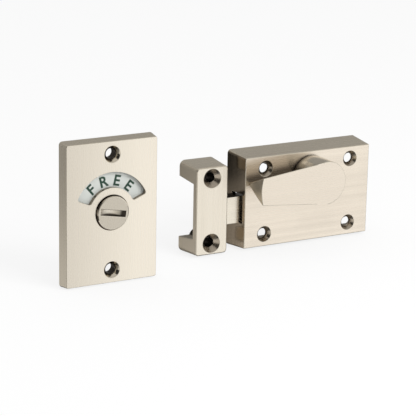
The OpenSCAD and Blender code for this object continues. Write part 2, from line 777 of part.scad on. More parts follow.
module release_turn() {
    cutter_r = (pow(coin_slot_l/2, 2) + pow(coin_slot_depth, 2))/(2*coin_slot_depth);
    color(satin_nickel) at_plate() difference() {
        union() {
            release_head();
            slab(disc_back_y, disc_front_y - cut) flatted(disc_seat_r, disc_half_flat);
            rod(0, 0, cover_back_y, disc_front_y - cut, release_journal_r);
        }
        // Coin slot, cut by a round cutter so that its floor is an arc
        rotate([0, coin_slot_lean, 0])
            translate([0, release_front_y + coin_slot_depth - cutter_r, -coin_slot_w/2])
                cylinder(h = coin_slot_w, r = cutter_r);
        // Square socket for the spindle
        translate([-socket_side/2, disc_front_y, -socket_side/2])
            cube([socket_side, cover_back_y - disc_front_y + cut, socket_side]);
        // Circlip groove
        difference() {
            rod(0, 0, release_clip_back_y + groove_play, disc_back_y, release_journal_r + cut);
            rod(
                0, 0, release_clip_back_y + cut, disc_back_y - cut,
                release_journal_r - groove_depth - seat_fit);
        }
    }
}

module indicator_disc() {
    color(enamel) at_plate() slab(disc_back_y, disc_front_y) difference() {
        circle(disc_r);
        flatted(disc_seat_r + seat_fit, disc_half_flat + seat_fit);
        rotate(stop_angle) translate([disc_pin_ring_r, 0]) circle(disc_pin_d/2 + seat_fit);
    }
}

module disc_stop_pin() {
    place = at_angle(disc_pin_ring_r, stop_angle);
    color(steel) at_plate() rod(place[0], place[1], cover_back_y, disc_front_y, disc_pin_d/2);
}

module release_circlip() {
    color(steel) at_plate() circlip(0, 0, release_clip_back_y, release_journal_r);
}

// Spring washer, dished so that it bears on the cover
module dished_washer() {
    h = dish_back_y - dish_front_y;
    color(steel) at_plate() translate([0, dish_back_y, 0]) rotate([90, 0, 0]) rotate_extrude()
        polygon([[dish_in_r, 0], [dish_in_r, dish_t], [dish_out_r, h], [dish_out_r, h - dish_t]]);
}

// Cone of a countersunk head in the back cover
module cover_sink(place, fit) {
    cone(
        place[0], place[1], cover_back_y, cover_back_y - cover_head_h,
        small_head_d/2 - fit, small_screw_d/2 - fit);
}

module back_cover() {
    track_r = disc_pin_d/2 + sliding_gap;
    track_ends = [stop_angle, stop_angle + turn_angle];
    color(steel) at_plate() difference() {
        slab(cover_back_y, cover_front_y) difference() {
            rounded(2*cover_half_w, 2*cover_half_h, cover_corner_r);
            for (p = cover_places) translate(p) circle(small_screw_d/2 + seat_fit);
            // Track that ends the disc's turn
            for (a = track_ends) rotate(a) translate([disc_pin_ring_r, 0]) circle(track_r);
        }
        translate([0, cover_back_y + cut, 0]) rotate([90, 0, 0]) rotate(stop_angle)
            rotate_extrude(angle = turn_angle)
                translate([disc_pin_ring_r - track_r, 0]) square([2*track_r, cover_t + 2*cut]);
        rod(0, 0, cover_back_y + cut, cover_front_y - cut, release_journal_r + running_fit);
        for (p = cover_places) cover_sink(p, 0);
    }
}

module cover_screws() {
    color(steel) at_plate() for (p = cover_places) difference() {
        union() {
            cover_sink(p, seat_fit);
            rod(p[0], p[1], cover_back_y - cover_head_h/2, cover_screw_end_y, small_screw_d/2);
        }
        translate([p[0], cover_back_y, p[1]])
            cube([small_head_d + cut, cover_head_h, small_head_d/6], center = true);
    }
}

bolt_case();
knob_bush();
turn_knob();
knob_grub_screw();
knob_washer();
knob_circlip();
spindle();
drive_pinion();
bolt();
bow_spring();
stop_pin();
retaining_plate();
retainer_screws();
keep();
indicator_plate();
release_turn();
indicator_disc();
disc_stop_pin();
release_circlip();
dished_washer();
back_cover();
cover_screws();
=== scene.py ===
# %% [markdown]
# # Toilet indicator bolt in satin nickel
# Three castings stand side by side: an indicator plate with a coin release, a keep, and a bolt case
# with a lever turn. Their shapes come from the CAD model. This script rounds the edges that a
# polishing wheel rounds, gives each surface its finish, prints the words on the indicator disc and
# lights the set as a product photograph does. All lengths are in metres, in the CAD model's frame.

# %% Load the frame
import json
import math

import bmesh
import bpy
from mathutils import Matrix, Quaternion, Vector

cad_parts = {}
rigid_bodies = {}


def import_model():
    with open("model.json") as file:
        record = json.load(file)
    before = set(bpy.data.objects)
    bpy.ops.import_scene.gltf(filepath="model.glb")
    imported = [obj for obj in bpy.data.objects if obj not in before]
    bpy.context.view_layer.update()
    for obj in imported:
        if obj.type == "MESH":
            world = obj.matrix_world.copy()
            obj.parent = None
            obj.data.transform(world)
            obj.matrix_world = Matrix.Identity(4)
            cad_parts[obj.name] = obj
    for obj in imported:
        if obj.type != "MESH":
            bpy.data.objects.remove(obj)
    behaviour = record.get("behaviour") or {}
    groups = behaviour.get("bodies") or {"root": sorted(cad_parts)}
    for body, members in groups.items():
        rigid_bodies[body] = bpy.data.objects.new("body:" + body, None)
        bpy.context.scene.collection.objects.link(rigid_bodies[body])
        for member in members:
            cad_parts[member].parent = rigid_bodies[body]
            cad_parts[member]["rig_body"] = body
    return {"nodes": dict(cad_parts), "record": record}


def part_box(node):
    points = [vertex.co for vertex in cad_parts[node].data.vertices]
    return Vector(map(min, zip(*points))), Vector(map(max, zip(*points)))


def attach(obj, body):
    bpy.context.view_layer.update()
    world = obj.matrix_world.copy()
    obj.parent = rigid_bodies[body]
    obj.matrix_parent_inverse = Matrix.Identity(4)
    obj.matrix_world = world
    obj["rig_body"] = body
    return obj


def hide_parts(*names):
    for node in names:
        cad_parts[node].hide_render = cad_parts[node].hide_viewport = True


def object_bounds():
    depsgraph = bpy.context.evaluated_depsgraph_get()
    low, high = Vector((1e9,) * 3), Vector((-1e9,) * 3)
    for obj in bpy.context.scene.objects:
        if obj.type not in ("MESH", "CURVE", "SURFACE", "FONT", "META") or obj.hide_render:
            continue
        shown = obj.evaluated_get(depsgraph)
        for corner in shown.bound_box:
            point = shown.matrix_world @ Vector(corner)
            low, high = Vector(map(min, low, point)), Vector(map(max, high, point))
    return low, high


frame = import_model()
cad_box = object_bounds()
MM = 0.001


def in_mm(box):
    return [[round(c / MM, 1) for c in corner] for corner in box]


print("CAD box in mm:", in_mm(cad_box))

# %% [markdown]
# ## Camera
# The picture was taken with a long lens from the upper left. A camera can be moved by eye until the
# view looks right, but then every later comparison carries the error. These angles, the place and
# the lens were found by matching the corners of the three units, so the CAD model falls on the
# picture without being moved.

# %% Camera
AZIMUTH, ELEVATION, ROLL = (math.radians(a) for a in (-29.83, 15.40, 1.11))
CAMERA_PLACE = Vector((-499.0, -779.3, 232.4)) * MM
LENS_MM, SENSOR_MM = 155.46, 36.0
CLIP_NEAR, CLIP_FAR = 0.01, 20

towards_camera = Vector(
    (
        math.sin(AZIMUTH) * math.cos(ELEVATION),
        -math.cos(AZIMUTH) * math.cos(ELEVATION),
        math.sin(ELEVATION),
    )
)
unrolled = (-towards_camera).to_track_quat("-Z", "Y")
camera = bpy.data.objects.new("camera", bpy.data.cameras.new("camera"))
bpy.context.scene.collection.objects.link(camera)
camera.data.lens, camera.data.sensor_width = LENS_MM, SENSOR_MM
camera.data.clip_start, camera.data.clip_end = CLIP_NEAR, CLIP_FAR
camera.location = CAMERA_PLACE
camera.rotation_mode = "QUATERNION"
camera.rotation_quaternion = unrolled @ Quaternion((0, 0, 1), ROLL)
bpy.context.scene.camera = camera
bpy.context.scene.view_settings.view_transform = "Standard"
print("camera looks along", [round(c, 3) for c in -towards_camera])

# %% [markdown]
# ## Shader arithmetic
# A finish is easier to read as a formula than as a wall of nodes. `Value` wraps a socket so that
# `1 - mask` adds a Math node. It has the operators that the finishes below need, each with its
# reflected form, so that a plain number may come first.


# %% Shader arithmetic
class Value:
    """A shader socket that takes part in arithmetic as a number does."""

    def __init__(self, finish, socket):
        self.finish, self.socket = finish, socket

    def maths(self, operation, *terms):
        made = self.finish.node("ShaderNodeMath", {"operation": operation}, dict(enumerate(terms)))
        return made("Value")

    def __add__(self, other):
        return self.maths("ADD", self, other)

    def __radd__(self, other):
        return self.maths("ADD", other, self)

    def __sub__(self, other):
        return self.maths("SUBTRACT", self, other)

    def __rsub__(self, other):
        return self.maths("SUBTRACT", other, self)

    def __mul__(self, other):
        return self.maths("MULTIPLY", self, other)

    def __rmul__(self, other):
        return self.maths("MULTIPLY", other, self)

    def above(self, limit):
        return self.maths("GREATER_THAN", self, limit)

    def largest(self, other):
        return self.maths("MAXIMUM", self, other)

    def span(self, least, most):
        """Stretches a share of 0 to 1 to the given range."""
        return least + self * (most - least)


print("a socket now adds, subtracts and multiplies")

# %% [markdown]
# Colours and vectors can't go through Math nodes, because these turn a colour grey. So
# `Finish.node` adds any other node: its settings first, then the values or links of its sockets.
# The other methods are the few patterns that come back in the finishes: a place on the piece,
# noise, a ramp, a mix of two colours and a bump.


# %% Nodes of a finish
class Finish:
    """The nodes of one material, or of the world."""

    MIX_FACTOR, MIX_A, MIX_B, MIX_COLOUR_OUT = 0, 6, 7, 2

    def __init__(self, owner):
        owner.use_nodes = True
        self.owner, self.tree = owner, owner.node_tree
        self.tree.nodes.clear()

    def node(self, kind, settings, inputs):
        """Adds a node and returns a function that gives its outputs by name or number."""
        made = self.tree.nodes.new(kind)
        for name, value in settings.items():
            setattr(made, name, value)
        for key, value in inputs.items():
            if isinstance(value, Value):
                self.tree.links.new(value.socket, made.inputs[key])
            else:
                made.inputs[key].default_value = value
        return lambda key: Value(self, made.outputs[key])

    def place(self):
        return self.node("ShaderNodeTexCoord", {}, {})("Object")

    def place_along(self, axis):
        return self.node("ShaderNodeSeparateXYZ", {}, {"Vector": self.place()})(axis)

    def noise(self, per_metre, detail=2.0):
        """Noise in the CAD frame, with so many waves to the metre along X, Y and Z."""
        stretch = {"Vector": self.place(), "Scale": per_metre}
        at = self.node("ShaderNodeMapping", {}, stretch)("Vector")
        pattern = {"Vector": at, "Scale": 1.0, "Detail": detail}
        return self.node("ShaderNodeTexNoise", {}, pattern)(0)

    def ramp(self, value, start, end, first=0.0, second=1.0):
        """Goes from `first` to `second` between two values, and stays there beyond them."""
        before, after = {"From Min": start, "From Max": end}, {"To Min": first, "To Max": second}
        ends = {"Value": value, **before, **after}
        return self.node("ShaderNodeMapRange", {"clamp": True}, ends)("Result")

    def mix(self, share, first, second):
        colours = {self.MIX_FACTOR: share, self.MIX_A: first, self.MIX_B: second}
        return self.node("ShaderNodeMix", {"data_type": "RGBA"}, colours)(self.MIX_COLOUR_OUT)

    def bump(self, height, depth, strength):
        settings = {"Height": height, "Distance": depth, "Strength": strength}
        return self.node("ShaderNodeBump", {}, settings)("Normal")

    def surface(self, inputs):
        """Ends a material in a Principled shader and returns the material."""
        shader = self.node("ShaderNodeBsdfPrincipled", {}, inputs)("BSDF")
        self.node("ShaderNodeOutputMaterial", {}, {"Surface": shader})
        return self.owner


def new_finish(name):
    return Finish(bpy.data.materials.new(name))


print("a finish now takes nodes by name")

# %% [markdown]
# ## Satin nickel
# The castings are brass, brushed on a belt and then nickel plated. The belt leaves fine scratches
# in one direction: along the case, and up and down the plate and the keep. A picture of brushed
# metal could be wrapped round the pieces, but it would stretch at the corners. Noise that is
# stretched about two hundred times along one axis gives such scratches in colour, roughness and
# bump at once, and the bump spreads the reflections across the scratches as the real ones do.

# %% Satin nickel
AXES = "XYZ"
NICKEL_DARK, NICKEL_LIGHT = (0.75, 0.69, 0.58, 1), (0.92, 0.85, 0.73, 1)
# PAINTED_SHADE_BROWN is the painted shade that a `shade` mixes into the nickel.
PAINTED_SHADE_BROWN = (0.13, 0.11, 0.09, 1)
SCRATCHES_ACROSS, SCRATCHES_ALONG = 5200, 24
BANDS_ACROSS, BANDS_ALONG = 420, 9
CLOUDS_PER_METRE = 45
BAND_TONE, CLOUD_TONE = 0.6, 0.4
SATIN_ROUGHNESS, SCRATCH_ROUGHNESS, BAND_ROUGHNESS = 0.27, 0.08, 0.04
SCRATCH_DEPTH, SCRATCH_STRENGTH, BAND_HEIGHT = 0.02 * MM, 0.18, 0.6


def stretched(along, across_per_metre, along_per_metre):
    return tuple(along_per_metre if axis in along else across_per_metre for axis in AXES)


def evenly(per_metre):
    return (per_metre,) * len(AXES)


def satin_nickel(
    name, along, roughness=SATIN_ROUGHNESS, shade=None, dark=NICKEL_DARK, light=NICKEL_LIGHT
):
    """Brushed nickel.

    `along` names the axis of the marks, or the two axes of marks that run round a turned piece.
    `shade` paints shade into the colour: a function that gives the share of light that is left,
    where the colour goes towards a painted dark brown.
    """
    finish = new_finish(name)
    scratches = finish.noise(stretched(along, SCRATCHES_ACROSS, SCRATCHES_ALONG))
    bands = finish.noise(stretched(along, BANDS_ACROSS, BANDS_ALONG))
    clouds = finish.noise(evenly(CLOUDS_PER_METRE))
    colour = finish.mix(bands * BAND_TONE + clouds * CLOUD_TONE, dark, light)
    if shade:
        colour = finish.mix(shade(finish), PAINTED_SHADE_BROWN, colour)
    smoothest = roughness - (SCRATCH_ROUGHNESS + BAND_ROUGHNESS) / 2
    marks = scratches + bands * BAND_HEIGHT
    return finish.surface(
        {
            "Base Color": colour,
            "Metallic": 1.0,
            "Roughness": smoothest + scratches * SCRATCH_ROUGHNESS + bands * BAND_ROUGHNESS,
            "Normal": finish.bump(marks, SCRATCH_DEPTH, SCRATCH_STRENGTH),
        }
    )


BRUSHED_X = satin_nickel("nickel_brushed_across", "X")
BRUSHED_Z = satin_nickel("nickel_brushed_upright", "Z")
FILED = satin_nickel("nickel_filed", "Z", roughness=0.5)
print("nickel finishes:", BRUSHED_X.name, BRUSHED_Z.name, FILED.name)

# %% [markdown]
# No two faces look quite alike: the case's front has strong bands. Several faces also get painted
# light and shade in their colour: the plate is painted darker towards its left edge, the case's end
# darker and browner towards its top, the lever and the stem darker near the case, the release's
# face and side darker, and the keep's sides lighter. Lamps alone could give some of this, but it
# would be gone under other lamps. So such a face has a finish with its own two tones and, where the
# painted shade changes along it, a shade that follows an axis.

# %% Finishes of single faces
# Painted shade on single faces: where it is deepest (SHADED) and where it has gone (LIT).
PLATE_SHADED_X, PLATE_LIT_X = -150 * MM, -112 * MM
END_LIT_Z, END_SHADED_Z = -24 * MM, -6 * MM
LEVER_SHADED_Y, LEVER_LIT_Y = -20.1 * MM, -24 * MM
STEM_SHADED_Y, STEM_LIT_Y = -16.5 * MM, -19 * MM


def shade_along(axis, start, end, first=0.0, second=1.0):
    """The share of light goes from `first` to `second` between two places on an axis."""
    return lambda finish: finish.ramp(finish.place_along(axis), start, end, first, second)


# Painted shade: the plate's front darkens towards its left edge, on tones lighter than plain
# nickel.
PLATE_FRONT = satin_nickel(
    "nickel_plate_front",
    "Z",
    shade=shade_along("X", PLATE_SHADED_X, PLATE_LIT_X, first=0.76),
    dark=(0.87, 0.802, 0.684, 1),
    light=(0.93, 0.863, 0.746, 1),
)
CASE_FRONT = satin_nickel(
    "nickel_case_front", "X", dark=(0.665, 0.5955, 0.505, 1), light=(1.0, 0.9, 0.763, 1)
)
# Painted shade: the case's end is a darker, browner nickel, and darkens further towards its top.
CASE_END = satin_nickel(
    "nickel_case_end",
    "Z",
    roughness=0.18,
    shade=shade_along("Z", END_LIT_Z, END_SHADED_Z, first=1.0, second=0.5),
    dark=(0.70, 0.58, 0.44, 1),
    light=(0.855, 0.71, 0.54, 1),
)
# Painted light: the keep's sides are a lighter nickel than the other faces.
KEEP_SIDE = satin_nickel(
    "nickel_keep_side", "Z", roughness=0.36, dark=(0.95, 0.85, 0.70, 1), light=(1.0, 0.91, 0.76, 1)
)
# Painted shade: the lever's flanks darken towards the case, to a dark brown.
KNOB_ACROSS = satin_nickel(
    "nickel_knob_across",
    "X",
    shade=shade_along("Y", LEVER_SHADED_Y, LEVER_LIT_Y),
    dark=(0.785, 0.706, 0.597, 1),
    light=(0.88, 0.79, 0.674, 1),
)
# Painted shade: the turned stem darkens towards its root at the case, and stays a little dark along
# its length.
KNOB_TURNED = satin_nickel(
    "nickel_knob_turned",
    "XZ",
    roughness=0.22,
    shade=shade_along("Y", STEM_SHADED_Y, STEM_LIT_Y, second=0.87),
)
# Painted shade: the release's face is a darker nickel than the plate round it.
RELEASE_FACE = satin_nickel(
    "nickel_release_face", "Z", dark=(0.535, 0.489, 0.408, 1), light=(0.648, 0.595, 0.508, 1)
)
# Painted shadow: the side of the release's head is a near black nickel, for the shadow in the gap
# round it.
RELEASE_SIDE = satin_nickel(
    "nickel_release_side",
    "XZ",
    roughness=0.22,
    dark=(0.254, 0.226, 0.188, 1),
    light=(0.288, 0.258, 0.218, 1),
)
print("plate, case and keep:", PLATE_FRONT.name, CASE_FRONT.name, CASE_END.name, KEEP_SIDE.name)
print("turned pieces:", KNOB_ACROSS.name, KNOB_TURNED.name, RELEASE_FACE.name, RELEASE_SIDE.name)

# %% [markdown]
# The edges are rubbed by the polishing wheel, so they are smoother than the faces. The inside of a
# casting only gets the plating: it keeps the grain of the sand that it was cast in. Holes and gaps
# get painted shade: the case's and keep's sinks a darker nickel, the bores, the coin slot's walls
# and the gaps round the bolt painted shadow near black, and the window's walls a dark brown. One
# grey could stand for all of them, but in a hole of a few millimetres the tone is what tells a sink
# from a bore, so each has its own.

# %% Edges, holes and cast insides
PATCHES_PER_METRE, CAST_GRAINS, CAST_PATCHES = 300, 1500, 90
CAST_DARK, CAST_LIGHT = (0.34, 0.31, 0.26, 1), (0.46, 0.42, 0.36, 1)


def bare_nickel(name, roughness, dark=NICKEL_DARK, light=NICKEL_LIGHT):
    """Nickel without marks: `roughness` is the least and the most that it has."""
    finish = new_finish(name)
    patches = finish.noise(evenly(PATCHES_PER_METRE))
    return finish.surface(
        {
            "Base Color": finish.mix(patches, dark, light),
            "Metallic": 1.0,
            "Roughness": patches.span(*roughness),
        }
    )


def cast_inside():
    finish = new_finish("nickel_cast_inside")
    grain = finish.noise(evenly(CAST_GRAINS), detail=4.0)
    patches = finish.noise(evenly(CAST_PATCHES))
    return finish.surface(
        {
            "Base Color": finish.mix(patches, CAST_DARK, CAST_LIGHT),
            "Metallic": 1.0,
            "Roughness": grain.span(least=0.42, most=0.62),
            "Normal": finish.bump(grain, depth=0.06 * MM, strength=0.6),
        }
    )


CAST = cast_inside()
RUBBED = bare_nickel("nickel_rubbed_edge", roughness=(0.24, 0.34))
BRIGHT_SINK = bare_nickel("nickel_sunk", roughness=(0.08, 0.16))
# Painted shade: the sinks of the case and the keep are a darker nickel.
SHADED_SINK = bare_nickel(
    "nickel_shaded_sink",
    roughness=(0.22, 0.3),
    dark=(0.45, 0.395, 0.33, 1),
    light=(0.63, 0.565, 0.475, 1),
)
# Painted shadow: the bores of the screws and the walls of the coin slot are near black.
HOLE_SHADOW = bare_nickel(
    "nickel_hole_shadow",
    roughness=(0.2, 0.3),
    dark=(0.035, 0.03, 0.024, 1),
    light=(0.07, 0.058, 0.048, 1),
)
# Painted shadow: the slot in the case's end wall and the top of the bolt's rack are near black, for
# the shadow in the gaps round the bolt.
GAP_SHADOW = bare_nickel(
    "nickel_gap_shadow",
    roughness=(0.3, 0.4),
    dark=(0.03, 0.026, 0.021, 1),
    light=(0.05, 0.042, 0.035, 1),
)
# Painted shade: the walls of the window are a dark brown nickel.
WINDOW_WALL = bare_nickel(
    "nickel_window_wall",
    roughness=(0.08, 0.16),
    dark=(0.20, 0.16, 0.12, 1),
    light=(0.38, 0.33, 0.26, 1),
)
print("edges and insides:", RUBBED.name, CAST.name, GAP_SHADOW.name)
print("holes:", BRIGHT_SINK.name, SHADED_SINK.name, HOLE_SHADOW.name, WINDOW_WALL.name)

# %% [markdown]
# ## Copies of the CAD pieces
# The shapes are the CAD model's, and a CAD node is never changed, so each casting that is seen is a
# copy of its node. A CAD mesh is loose triangles, while rounding needs edges between whole faces.
# So the copy is welded first, and its triangles are merged into flat faces.

# %% Copies of the CAD pieces
WELD, FLAT = 0.001 * MM, math.radians(0.5)
RUBBED_MARK = "rubbed"


def cad_copy(node):
    """A mesh copy of a CAD node, with its triangles merged into flat faces."""
    mesh = bmesh.new()
    mesh.from_mesh(frame["nodes"][node].data)
    mesh.faces.layers.int.new(RUBBED_MARK)
    bmesh.ops.remove_doubles(mesh, verts=mesh.verts[:], dist=WELD)
    bmesh.ops.dissolve_degenerate(mesh, dist=WELD, edges=mesh.edges[:])
    bmesh.ops.dissolve_limit(mesh, angle_limit=FLAT, verts=mesh.verts[:], edges=mesh.edges[:])
    return mesh


print("the CAD model has", len(frame["nodes"]), "nodes")

# %% [markdown]
# ## Rounded edges
# A CAD edge has no width, so it never catches the light, while a polished edge always does. A Bevel
# modifier would round a plain box, but here the rounds differ from edge to edge, so
# `bmesh.ops.bevel` gets the edges of one kind at a time. The new faces are marked, because they get
# the finish of a rubbed edge.

# %% Rounded edges
SHARP = math.radians(25)


def middle(edge):
    return (edge.verts[0].co + edge.verts[1].co) / 2


def round_edges(mesh, width, chosen, segments=3):
    """Rounds the sharp edges that `chosen` picks, marks the rounds and returns their number."""
    mesh.normal_update()
    sharp = [e for e in mesh.edges if e.is_manifold and e.calc_face_angle() > SHARP]
    edges = [e for e in sharp if chosen(e)]
    made = bmesh.ops.bevel(
        mesh,
        geom=edges,
        offset=width,
        offset_type="OFFSET",
        segments=segments,
        profile=0.5,
        affect="EDGES",
        material=-1,
        clamp_overlap=False,
    )
    mark = mesh.faces.layers.int[RUBBED_MARK]
    for face in made["faces"]:
        face[mark] = 1
    return len(edges)


print("edges sharper than", round(math.degrees(SHARP)), "degrees can be rounded")

# %% [markdown]
# ## Edges of a casting
# The wheel reaches the edges round a casting's front and those between its sides, a cutter breaks
# the rims of the holes, and the back is left as it is. The edges could be listed by number, but
# such a list is wrong after the next change to the CAD model. So each edge is sorted by its place
# and by the way its faces look.

# %% Edges of a casting
NEAR, SKIN_REACH, TURNED_OUT = 0.02 * MM, 3 * MM, 0.3
X, Z = 0, 2
OUTER, SIDE, RIM, HIDDEN = "outer", "side", "rim", "hidden"


def looks_out(face, box):
    """True for a face of the outer skin: near a side of the box, and turned to that side."""
    at = face.calc_center_median()
    low, high = box
    for axis in (X, Z):
        if face.normal[axis] < -TURNED_OUT and at[axis] - low[axis] < SKIN_REACH:
            return True
        if face.normal[axis] > TURNED_OUT and high[axis] - at[axis] < SKIN_REACH:
            return True
    return False


def edge_kind(edge, box):
    """Says if an edge is round the front, in the sides, round an opening, or out of reach."""
    y = middle(edge).y
    at_front, at_back = y < box[0].y + NEAR, y > box[1].y - NEAR
    if at_back:
        return HIDDEN
    if any(looks_out(face, box) for face in edge.link_faces):
        return OUTER if at_front else SIDE
    return RIM if at_front else HIDDEN


def round_casting(node, widths):
    """A rounded copy of a casting, with one width for each kind of edge."""
    mesh, box = cad_copy(node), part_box(node)
    for kind, width in widths.items():
        count = round_edges(mesh, width, lambda e: edge_kind(e, box) == kind)
        print(node, "has", count, kind, "edges rounded to", round(width / MM, 2), "mm")
    return mesh


print("kinds of edges:", OUTER, SIDE, RIM, HIDDEN)

# %% [markdown]
# ## From mesh to piece
# A mesh becomes a piece when it is an object with finishes, rides on a body and stands for its CAD
# node. A rule says what kind of face each one is, and a table gives each kind its finish, so the
# finishes are named and not counted. Smooth shading with weighted normals keeps the flat faces flat
# and lets only the rounds bend the light.

# %% From mesh to piece
CREASE = math.radians(40)


def as_object(name, mesh, materials):
    """Ends a bmesh and puts it in the scene as an object at the origin."""
    data = bpy.data.meshes.new(name)
    mesh.to_mesh(data)
    mesh.free()
    for material in materials:
        data.materials.append(material)
    made = bpy.data.objects.new(name, data)
    bpy.context.scene.collection.objects.link(made)
    return made


def finish_piece(name, node, mesh, finishes, choose):
    """Makes the mesh a piece that stands for its CAD node.

    `choose` says what kind a face is, from the face and from whether it is a round, and `finishes`
    gives the finish of each kind.
    """
    mark = mesh.faces.layers.int[RUBBED_MARK]
    kinds = list(finishes)
    mesh.normal_update()
    for face in mesh.faces:
        face.smooth = True
        face.material_index = kinds.index(choose(face, face[mark] == 1))
    for edge in mesh.edges:
        edge.smooth = edge.calc_face_angle(0) < CREASE
    piece = as_object(name, mesh, finishes.values())
    weighted = piece.modifiers.new("weighted_normals", "WEIGHTED_NORMAL")
    weighted.keep_sharp = True
    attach(piece, frame["nodes"][node]["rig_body"])
    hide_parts(node)
    print(name, "has", len(piece.data.polygons), "faces in", len(kinds), "finishes")


print("edges sharper than", round(math.degrees(CREASE)), "degrees stay sharp in the shading")

# %% [markdown]
# ## Bolt case
# A hollow casting with leaning sides, which holds the works. Its front is brushed along its length
# and its two ends upright. The polishing rounds the front edges and the corners, and the
# countersinks only lose their burr. The sinks get painted shade, a darker nickel, the ends painted
# shade that deepens towards the top, and the slot that the bolt slides in painted shadow, near
# black. The faces could be picked by hand, but a rule that reads their place and direction works
# again after every change.

# %% Bolt case
FACE, LEVEL, UPRIGHT, EDGE = "front face", "level side", "upright side", "rubbed edge"
INSIDE, SINK, BORE, SLOT, WINDOW = "inside", "sink", "bore", "slot", "window wall"
FACING, LEANING = 0.9, 0.5  # the share of a face's normal that lies along an axis
FRONT_WALL, END_WALL = 3.3 * MM, 5 * MM
case_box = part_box("bolt_case")


def casting_face(face, rubbed, box):
    """Sorts the faces of a casting: its front, its sides, its edges, its sinks and its inside."""
    at = face.calc_center_median()
    if rubbed:
        return EDGE
    if face.normal.y < -FACING and at.y < box[0].y + NEAR:
        return FACE
    if looks_out(face, box):
        return LEVEL if abs(face.normal.z) > abs(face.normal.x) else UPRIGHT
    in_front_wall = at.y < box[0].y + FRONT_WALL and face.normal.y < LEANING
    return SINK if in_front_wall else INSIDE


def case_face(face, rubbed):
    kind = casting_face(face, rubbed, case_box)
    in_end_wall = face.calc_center_median().x < case_box[0].x + END_WALL
    return SLOT if in_end_wall and kind in (SINK, INSIDE) else kind


CASE_FINISHES = {
    FACE: CASE_FRONT,
    LEVEL: BRUSHED_X,
    UPRIGHT: CASE_END,
    EDGE: RUBBED,
    INSIDE: CAST,
    SINK: SHADED_SINK,
    SLOT: GAP_SHADOW,
}
case_mesh = round_casting("bolt_case", {RIM: 0.12 * MM, OUTER: 0.35 * MM, SIDE: 0.15 * MM})
finish_piece("case_shell", "bolt_case", case_mesh, CASE_FINISHES, case_face)

# %% [markdown]
# ## Keep
# The bridge that catches the bolt. The treatment is the case's, but the belt ran up and down, and
# its edges are rounder, because so small a casting turns easily on the wheel. Its sides are painted
# lighter. The bores of its two screws get painted shadow, near black, and their sinks painted
# shade, a darker nickel. A list of the bores' faces would have to be made anew after each change,
# but they are its only walls of short facets, and that is how they are found.

# %% Keep
EDGE_ON, FACET = 0.1, 1 * MM
keep_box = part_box("keep")


def keep_face(face, rubbed):
    kind = casting_face(face, rubbed, keep_box)
    is_facet = abs(face.normal.y) < EDGE_ON and min(e.calc_length() for e in face.edges) < FACET
    return BORE if is_facet and kind in (SINK, INSIDE) else kind


KEEP_FINISHES = {
    FACE: BRUSHED_Z,
    LEVEL: BRUSHED_X,
    UPRIGHT: KEEP_SIDE,
    EDGE: RUBBED,
    INSIDE: CAST,
    SINK: SHADED_SINK,
    BORE: HOLE_SHADOW,
}
keep_mesh = round_casting("keep", {RIM: 0.2 * MM, OUTER: 0.5 * MM, SIDE: 0.3 * MM})
finish_piece("keep_bridge", "keep", keep_mesh, KEEP_FINISHES, keep_face)

# %% [markdown]
# ## Indicator plate
# A shallow casting for the outside of the door, with a window, two screw holes and the hole of the
# release. The window's edge is only broken, and its walls get painted shade, darker than the sinks;
# the bores of the screws get painted shadow, near black. These walls and the bores could be pieces
# of their own, but a face's distance from the release's axis and from the screws is enough to tell
# them apart.

# %% Indicator plate
WINDOW_REACH, PLATE_SCREW_Z, BORE_REACH = 24 * MM, 28.8 * MM, 3.2 * MM
plate_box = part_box("indicator_plate")
release_low, release_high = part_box("release_turn")
release_mid = (release_low + release_high) / 2


def plate_face(face, rubbed):
    kind = casting_face(face, rubbed, plate_box)
    at = face.calc_center_median() - release_mid
    if kind == SINK and math.hypot(at.x, at.z) < WINDOW_REACH:
        return WINDOW
    near_screw = math.hypot(at.x, abs(at.z) - PLATE_SCREW_Z) < BORE_REACH
    return BORE if near_screw and abs(face.normal.y) < EDGE_ON else kind


PLATE_FINISHES = {
    FACE: PLATE_FRONT,
    LEVEL: BRUSHED_X,
    UPRIGHT: BRUSHED_Z,
    EDGE: RUBBED,
    INSIDE: CAST,
    SINK: BRIGHT_SINK,
    BORE: HOLE_SHADOW,
    WINDOW: WINDOW_WALL,
}
plate_mesh = round_casting("indicator_plate", {RIM: 0.15 * MM, OUTER: 0.25 * MM})
finish_piece("plate_shell", "indicator_plate", plate_mesh, PLATE_FINISHES, plate_face)

# %% [markdown]
# ## Lever turn
# The knob is one casting: a round stem with a lever whose two flanks run back to a thin keel. The
# front is brushed along the lever, and the stem is turned, so its marks run round it. One round
# along the whole front would fold over itself where a flank is narrower than the round. So the mesh
# is cut where that begins, and those two stretches stay sharp.

# %% Rounds of the lever turn
KNOB_FRONT_ROUND, KNOB_BACK_ROUND = 0.45 * MM, 0.2 * MM
FLANK_START, FLANK_END_HIGH, FLANK_END_LOW = -6 * MM, -3 * MM, 0.5 * MM
knob_low, knob_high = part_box("turn_knob")
stem_r = knob_high.x


def is_knob_front(edge):
    """An edge round the front, apart from the stretches where a flank is too narrow to round."""
    at = middle(edge)
    narrow = FLANK_START < at.x < (FLANK_END_HIGH if at.z > 0 else FLANK_END_LOW)
    return at.y < knob_low.y + NEAR and not narrow


def is_lever_back(edge):
    at = middle(edge)
    return at.x < -stem_r and at.y > knob_low.y + KNOB_FRONT_ROUND


knob_mesh = cad_copy("turn_knob")
whole_knob = knob_mesh.verts[:] + knob_mesh.edges[:] + knob_mesh.faces[:]
bmesh.ops.bisect_plane(
    knob_mesh, geom=whole_knob, plane_co=(FLANK_START, 0, 0), plane_no=(1, 0, 0)
)
front_count = round_edges(knob_mesh, KNOB_FRONT_ROUND, is_knob_front, segments=4)
back_count = round_edges(knob_mesh, KNOB_BACK_ROUND, is_lever_back)
print("turn_knob has", front_count, "front edges and", back_count, "back edges rounded")

# %% Finishes of the lever turn
STEM, TIP = "turned stem", "filed tip"
STEEP = 0.7


